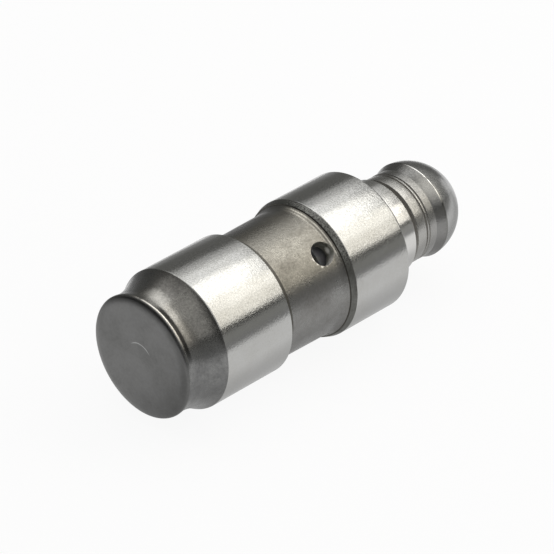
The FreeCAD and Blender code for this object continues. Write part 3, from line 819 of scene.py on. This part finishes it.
@dataclass
class BallPin:
    """The upper plunger: foot, guide land, shank, grooved neck and ball head."""

    foot: float = 16.48  # height of its foot
    foot_bevel: float = 0.15  # bevel round the foot
    relief: float = 3.8  # radius of the oil gallery above it
    relief_end: float = 20.28  # height where the gallery starts to slope out
    guide: float = 4.5  # radius of the guide land
    guide_low: float = 20.98  # height where that land starts
    stop: float = 22.18  # height of its upper face
    shank: float = 4.15  # radius of the shank
    bright_from: float = 23.18  # height where the shank's finish starts, inside the mouth
    mouth_level: float = 25.0  # height of a ring that divides the shank above the mouth
    shank_end: float = 27.28  # height of its upper end
    neck: float = 3.87  # radius of the neck
    # radius and top of the groove behind the shank, and where its slope ends
    neck_groove: tuple[float, float, float] = (3.6, 27.75, 27.9)
    clip_low: float = 28.83  # height where the clip's groove starts
    # radius, foot and top of the wider half of the clip's groove
    clip_groove: tuple[float, float, float] = (3.7, 28.88, 29.03)
    # radius, foot and top of the rib between its halves
    clip_rib: tuple[float, float, float] = (3.81, 29.08, 29.205)
    # radius, foot and top of its narrower half
    clip_scratch: tuple[float, float, float] = (3.76, 29.23, 29.28)
    collar: float = 29.33  # height where the neck goes on above it
    underside: float = 30.05  # height where the underside of the head starts
    crease: float = 0.05  # depth and height of the crease there
    rim: float = 30.95  # height of the rim round the head
    ball: float = 4.17  # radius of the head
    centre: float = 30.7  # height of its centre
    outlet: float = 0.4  # radius of the oil outlet in the crown
    outlet_foot: float = 28.2  # height where the outlet leaves the oil store
    store: float = 2.6  # radius of the oil store
    store_top: float = 26.88  # height where its side ends
    notch: tuple[float, float] = (0.8, 0.6)  # half width and depth of the oil notch across the foot

    def lower_half(self) -> list[Run]:
        """Draws the foot, the gallery, the guide land and the shank.

        Returns:
            The runs from the oil store out and up to the neck.
        """
        bevel = self.foot_bevel
        foot = ((self.store, self.foot), (self.relief - bevel, self.foot), (self.relief, self.foot + bevel))
        slope = ((self.relief, self.relief_end), (self.guide, self.guide_low))
        return [
            Run(foot, INNER),
            Run((*slope, (self.guide, self.stop), (self.shank, self.stop)), INNER),
            Run(((self.shank, self.bright_from), (self.shank, self.mouth_level)), SHANK),
            Run(((self.shank, self.shank_end),), NECK_GROOVE, 0.05),
        ]

    def grooved_neck(self) -> list[Run]:
        """Draws the neck with the groove behind the shank and the clip's double groove.

        Returns:
            The runs from the shank up to the head.
        """
        floor, floor_end, slope_end = self.neck_groove
        bands = (self.clip_groove, NECK_GROOVE), (self.clip_rib, NECK), (self.clip_scratch, NECK_GROOVE)
        return [
            Run(((floor, self.shank_end), (floor, floor_end)), NECK_GROOVE),
            Run(((self.neck, slope_end),), NECK, 0.04),
            Run(((self.neck, self.clip_low),), NECK_GROOVE, 0.03),
            *(Run(((radius, low), (radius, high)), finish) for (radius, low, high), finish in bands),
            Run(((self.neck, self.collar),), COLLAR, 0.03),
        ]

    def head(self) -> list[Run]:
        """Draws the underside, the rim, the ball and the oil passage through it.

        Returns:
            The runs from the neck over the crown and down to the oil store.
        """
        top = math.sqrt(self.ball**2 - self.outlet**2)
        start = math.degrees(math.asin((self.rim - self.centre) / self.ball))
        end = math.degrees(math.atan2(top, self.outlet))
        crown = arc((0.0, self.centre), self.ball, start, end, 48)
        crease = (self.neck - self.crease, self.underside + self.crease)
        return [
            Run(((self.neck, self.underside), crease), UNDERSIDE),
            Run(crown[:1], RIM, 0.05),
            Run(crown[1:-1], CROWN),
            Run(crown[-1:], CROWN, 0.06),
            Run(((self.outlet, self.outlet_foot), (self.store, self.store_top)), INNER),
        ]

    def notch_saw(self) -> Object:
        """Makes the tool for the oil notch across the foot.

        Returns:
            The saw, in place.
        """
        past = 0.5
        (x, depth), y = self.notch, self.guide + past
        levels = (self.foot - past, self.foot + depth)
        verts = [(a * MM, b * MM, c * MM) for c in levels for a, b in ((-x, -y), (x, -y), (x, y), (-x, y))]
        faces = [(3, 2, 1, 0), (4, 5, 6, 7), (0, 1, 5, 4), (1, 2, 6, 5), (2, 3, 7, 6), (3, 0, 4, 7)]
        mesh = bpy.data.meshes.new("notch_saw")
        mesh.from_pydata(verts, [], faces)
        mesh.materials.append(INNER.make())
        return put_in_scene("notch_saw", mesh)

    def build(self) -> Object:
        """Makes the pin in place of its plain solid.

        Returns:
            The pin.
        """
        pin = Lathe(160).turn("ball_pin_shell", self.lower_half() + self.grooved_neck() + self.head())
        cut(pin, self.notch_saw())
        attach(pin, "ball_pin")
        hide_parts("upper_plunger")
        return pin


@dataclass(frozen=True)
class Coil:
    """A coil spring that a joint presses together onto its foot."""

    node: str  # the spring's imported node
    body: str  # the body that its foot stands on
    joint: str  # the joint that presses its upper end down

    def build(self) -> Object:
        """Makes the spring in place of its plain solid; the joint's travel is read but doesn't change its
        length.

        Returns:
            The spring.
        """
        low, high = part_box(self.node)
        travel = next(-joint["range_m"][0] for joint in frame["joints"] if joint["name"] == self.joint)
        coil = bpy.data.objects.new(f"{self.node}_coil", frame["nodes"][self.node].data.copy())
        coil.data.materials.clear()
        coil.data.materials.append(SPRING.make())
        bpy.context.scene.collection.objects.link(coil)
        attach(coil, self.body)
        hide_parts(self.node)
        1 - travel / (high[2] - low[2])
        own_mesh(coil)
        return coil


@dataclass
class InnerParts:
    """The pieces inside the body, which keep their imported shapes."""

    finishes: tuple[tuple[str, Steel], ...] = (
        ("retaining_ring", SPRING),
        ("lower_plunger", INNER),
        ("check_ball", BALL),
        ("ball_cage", SHEET),
    )

    def dress(self) -> list[Object]:
        """Gives each piece its finish.

        Returns:
            The pieces.
        """
        dressed = []
        for node, finish in self.finishes:
            piece = frame["nodes"][node]
            piece.data.materials.clear()
            piece.data.materials.append(finish.make())
            dressed.append(piece)
        return dressed


@dataclass(frozen=True)
class Lamp:
    """An upright strip lamp that faces the axis."""

    name: str  # the lamp's name
    start: float  # where it starts round the axis, in degrees from the camera's side
    end: float  # where it ends
    foot: float  # height of its lower end, in metres
    top: float  # height of its upper end
    radiance: float  # how bright its face is, where 1 is white
    colour: Colour = (1.0, 1.0, 1.0)  # the tint of its light


@dataclass(frozen=True)
class Card:
    """A tall grey card with a dark foot, seen only in the metal, that draws a dark streak along it."""

    name: str  # the card's name
    start: float  # where it starts round the axis, in degrees from the camera's side
    end: float  # where it ends
    tone: float  # its grey above the foot


@dataclass(frozen=True)
class Mat:
    """A grey sheet on the table, seen only in the metal; the one under the part is a painted shadow."""

    name: str  # the mat's name
    start: float  # where it starts across the table, in metres from under the axis
    end: float  # where it ends
    soft: float  # how far in from either end it fades from the table's white
    tone: float  # its grey away from the ends


@dataclass
class Studio:
    """The table, the lamps, the cards and mats that darken reflections, and the camera, all in metres."""

    lamps: tuple[Lamp, ...] = (
        Lamp("lamp_front", 18.0, -4.0, 0.12, 0.285, 1.4, (1.0, 0.955, 0.86)),
        Lamp("lamp_over", -4.0, -26.0, 0.125, 0.29, 1.9, (1.0, 0.965, 0.89)),
        Lamp("lamp_main", -26.0, -58.0, 0.11, 0.246, 2.25, (1.0, 0.985, 0.95)),
        Lamp("lamp_side", -58.0, -80.0, 0.04, 0.238, 1.15),
        Lamp("lamp_back", -80.0, -98.0, 0.0, 0.26, 0.5),
        Lamp("lamp_fill", 17.0, -88.0, -0.1, 0.09, 0.45),
    )
    cards: tuple[Card, ...] = (
        Card("card_back", -88.0, -146.0, 0.17),
        Card("card_over", -20.0, -88.0, 0.36),
        Card("card_side", 17.0, -20.0, 0.3),
        Card("card_front", 58.0, 27.0, 0.34),
        Card("card_line", 27.0, 18.5, 0.02),
    )
    mats: tuple[Mat, ...] = (
        Mat("mat_back", -3.0, -0.026, 0.012, 0.3),
        Mat("mat_front", 0.036, 3.0, 0.012, 0.3),
        # a painted shadow: grey where the table lies in the part's shade, seen only in the metal
        Mat("shadow_under", -0.006, 0.012, 0.008, 0.6),
    )
    camera_side: float = -86.65  # the camera's side, in degrees round the axis
    camera_place: Place = (0.0145637, -0.2562546, -0.1791082)  # where the camera stands, in metres
    # the rows of its rotation
    camera_turn: tuple[Place, Place, Place] = (
        (0.51170372, -0.85790209, 0.04651132),
        (-0.50062959, -0.34172565, -0.79535753),
        (0.698233, 0.38370246, -0.60435345),
    )
    camera_lens: float = 261.47  # its focal length on a sensor 36 mm wide
    table_side: float = 225.65  # where the table's face looks to, in degrees round the axis
    table_gap: float = 0.00605  # how far the table's face lies from the axis
    mat_gap: float = 0.006  # how far the mats lie from it
    table_half: float = 30.0  # half the table's width
    mat_half: float = 3.0  # half the mats' length
    table_white: float = 0.92  # how much of its own light shows in place of its shading
    mat_white: float = 0.98  # the mats' white at their ends
    lamp_reach: float = 0.24  # how far the lamps stand from the axis
    card_reach: float = 0.36  # how far the cards stand from it
    card_top: float = 2.0  # how far up and down the cards reach
    card_split: float = -0.15  # height below which the cards are dark
    low_tone: float = 0.04  # the grey of that part and of the board below
    floor_drop: float = 1.0  # how far below the part that board lies
    card_blue: float = 0.96  # how much blue there is to the red in a card's grey
    soft_light: float = 0.4  # how strongly the surround lights the part, where 1 is white

    @staticmethod
    def seen(bench: Bench) -> Wire:
        """1 where the camera looks, or a reflection or a see-through piece shows it, else 0."""
        outs = ("Is Camera Ray", "Is Glossy Ray", "Is Transmission Ray")
        return reduce(Wire.most, [bench.node("ShaderNodeLightPath", {}, {}, out) for out in outs])

    def across(self) -> Vector:
        """The direction across the table."""
        return UP.cross(towards(self.table_side))

    def on_table(self, gap: float, start: float, end: float, half: float) -> list[Vector]:
        """Marks out a stretch of the table.

        Args:
            gap: how far it lies from the axis.
            start: where it starts across the table, from under the axis.
            end: where it ends.
            half: how far it reaches each way along the table.

        Returns:
            Its corners.
        """
        under, across = towards(self.table_side) * -gap, self.across()
        corners = ((start, -half), (end, -half), (end, half), (start, half))
        return [under + across * a + UP * b for a, b in corners]

    def table_paint(self) -> Material:
        """Makes white paint that shows a faint shadow and lets the back be looked through.

        Returns:
            The paint.
        """
        bench = Bench.material("table_paint")
        paint = bench.node("ShaderNodeBsdfDiffuse", {}, {"Color": TABLE_WHITE})
        glow = bench.node("ShaderNodeEmission", {}, {"Color": WHITE})
        shown = self.seen(bench) * self.table_white
        front = bench.node("ShaderNodeMixShader", {}, {0: shown, 1: paint, 2: glow})
        clear = bench.node("ShaderNodeBsdfTransparent", {}, {})
        back = bench.node("ShaderNodeNewGeometry", {}, {}, "Backfacing")
        return bench.finish(bench.node("ShaderNodeMixShader", {}, {0: back, 1: front, 2: clear}))

    def card_paint(self, name: str, tone: float) -> Material:
        """Grey paint of one tone, the same in any light."""
        bench, grey = Bench.material(name), (tone, tone, tone * self.card_blue, 1.0)
        return bench.finish(bench.node("ShaderNodeEmission", {}, {"Color": grey}))

    def felt(self, mat: Mat) -> Material:
        """Makes a mat's grey, which fades into the table's white at its ends.

        Args:
            mat: the mat.

        Returns:
            Its material.
        """
        bench = Bench.material(f"{mat.name}_felt")
        where = bench.vector("DOT_PRODUCT", {0: bench.place(), 1: self.across()}, "Value")
        first, last, fade = mat.start / MM, mat.end / MM, mat.soft / MM
        inside = where.above(first, first + fade) * (1.0 - where.above(last - fade, last))
        white, grey = (self.mat_white,) * 3, (mat.tone,) * 3
        return bench.finish(bench.node("ShaderNodeEmission", {}, {"Color": bench.mix(inside, white, grey)}))

    @staticmethod
    def sheet(name: str, corners: list[Vector], paint: Material, shown: bool = False) -> None:
        """Sets up one flat sheet that isn't part of the object.

        Args:
            name: its name.
            corners: its four corners.
            paint: its material.
            shown: whether the camera sees it, or else it only shows in the metal.
        """
        mesh = bpy.data.meshes.new(name)
        mesh.from_pydata([tuple(c) for c in corners], [], [(0, 1, 2, 3)])
        mesh.materials.append(paint)
        sheet = bpy.data.objects.new(name, mesh)
        for rays in () if shown else ("camera", "diffuse", "shadow", "transmission"):
            setattr(sheet, f"visible_{rays}", False)
        bpy.context.scene.collection.objects.link(sheet)

    def hang_lamp(self, lamp: Lamp) -> None:
        """Hangs one lamp.

        Args:
            lamp: the lamp.
        """
        data = bpy.data.lights.new(lamp.name, "AREA")
        data.shape = "RECTANGLE"
        data.size = 2 * self.lamp_reach * math.tan(math.radians((lamp.start - lamp.end) / 2))
        data.size_y = lamp.top - lamp.foot
        data.energy = lamp.radiance * math.pi * data.size * data.size_y
        data.color = lamp.colour
        strip = bpy.data.objects.new(lamp.name, data)
        out = towards(self.camera_side + (lamp.start + lamp.end) / 2)
        rotation = Matrix((UP.cross(out), UP, out)).transposed().to_4x4()
        middle = out * self.lamp_reach + UP * (lamp.foot + lamp.top) / 2
        strip.matrix_world = Matrix.Translation(middle) @ rotation
        strip.visible_camera = False
        bpy.context.scene.collection.objects.link(strip)

    def stand_card(self, card: Card) -> None:
        """Stands one card up, in two boards.

        Args:
            card: the card.
        """
        turn = math.radians((card.start - card.end) / 2)
        reach = self.card_reach / math.cos(turn)
        half = reach * math.tan(turn)
        out = towards(self.camera_side + (card.start + card.end) / 2)
        side = UP.cross(out)
        upper = ("", self.card_split, self.card_top, card.tone)
        lower = ("_low", -self.card_top, self.card_split, self.low_tone)
        for part, low, high, tone in (upper, lower):
            places = ((-half, low), (-half, high), (half, high), (half, low))
            corners = [out * reach + side * a + UP * b for a, b in places]
            self.sheet(card.name + part, corners, self.card_paint(card.name + part, tone))

    def lay_board_below(self) -> None:
        """Lays the dark board under the part's foot."""
        reach = self.card_reach
        places = ((-reach, -reach), (-reach, reach), (reach, reach), (reach, -reach))
        corners = [Vector((a, b, -self.floor_drop)) for a, b in places]
        self.sheet("board_below", corners, self.card_paint("board_below", self.low_tone))

    def surround(self) -> None:
        """Sets up a pale surround that looks white and lights softly."""
        world = bpy.data.worlds.new("surround")
        bench = Bench(world, "ShaderNodeOutputWorld")
        strength = self.seen(bench) * (1.0 - self.soft_light) + self.soft_light
        bench.finish(bench.node("ShaderNodeBackground", {}, {"Color": WHITE, "Strength": strength}))
        bpy.context.scene.world = world

    def camera(self) -> None:
        """Stands the camera where the photographer's stood, beyond the closed end and to one side."""
        data = bpy.data.cameras.new("camera")
        data.lens = self.camera_lens
        data.sensor_width = 36.0
        data.clip_start = 0.01
        data.clip_end = 100.0
        camera = bpy.data.objects.new("camera", data)
        camera.matrix_world = Matrix.Translation(self.camera_place) @ Matrix(self.camera_turn).to_4x4()
        bpy.context.scene.collection.objects.link(camera)
        bpy.context.scene.camera = camera

    def build(self) -> None:
        """Sets the whole studio up."""
        self.surround()
        half = self.table_half
        self.sheet("table", self.on_table(self.table_gap, -half, half, half), self.table_paint(), shown=True)
        self.camera()
        bpy.context.scene.view_settings.view_transform = "Standard"
        for lamp in self.lamps:
            self.hang_lamp(lamp)
        for card in self.cards:
            self.stand_card(card)
        for mat in self.mats:
            corners = self.on_table(self.mat_gap, mat.start, mat.end, self.mat_half)
            self.sheet(mat.name, corners, self.felt(mat))
        self.lay_board_below()


def main() -> None:
    """Builds the part piece by piece, then the studio round it."""
    logging.basicConfig(level=logging.INFO, format="%(name)s: %(message)s")
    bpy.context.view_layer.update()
    springs = (
        Coil("plunger_spring", "body", "plunger_slide"),
        Coil("check_ball_spring", "valve_carrier", "ball_lift"),
    )
    for piece in (Body(), BallPin(), *springs):
        made = piece.build()
        log.info("%s has %d faces", made.name, len(made.data.polygons))
    for piece in InnerParts().dress():
        log.info("%s is dressed", piece.name)
    Studio().build()
    log.info("the studio is set")


if __name__ == "__main__":
    main()
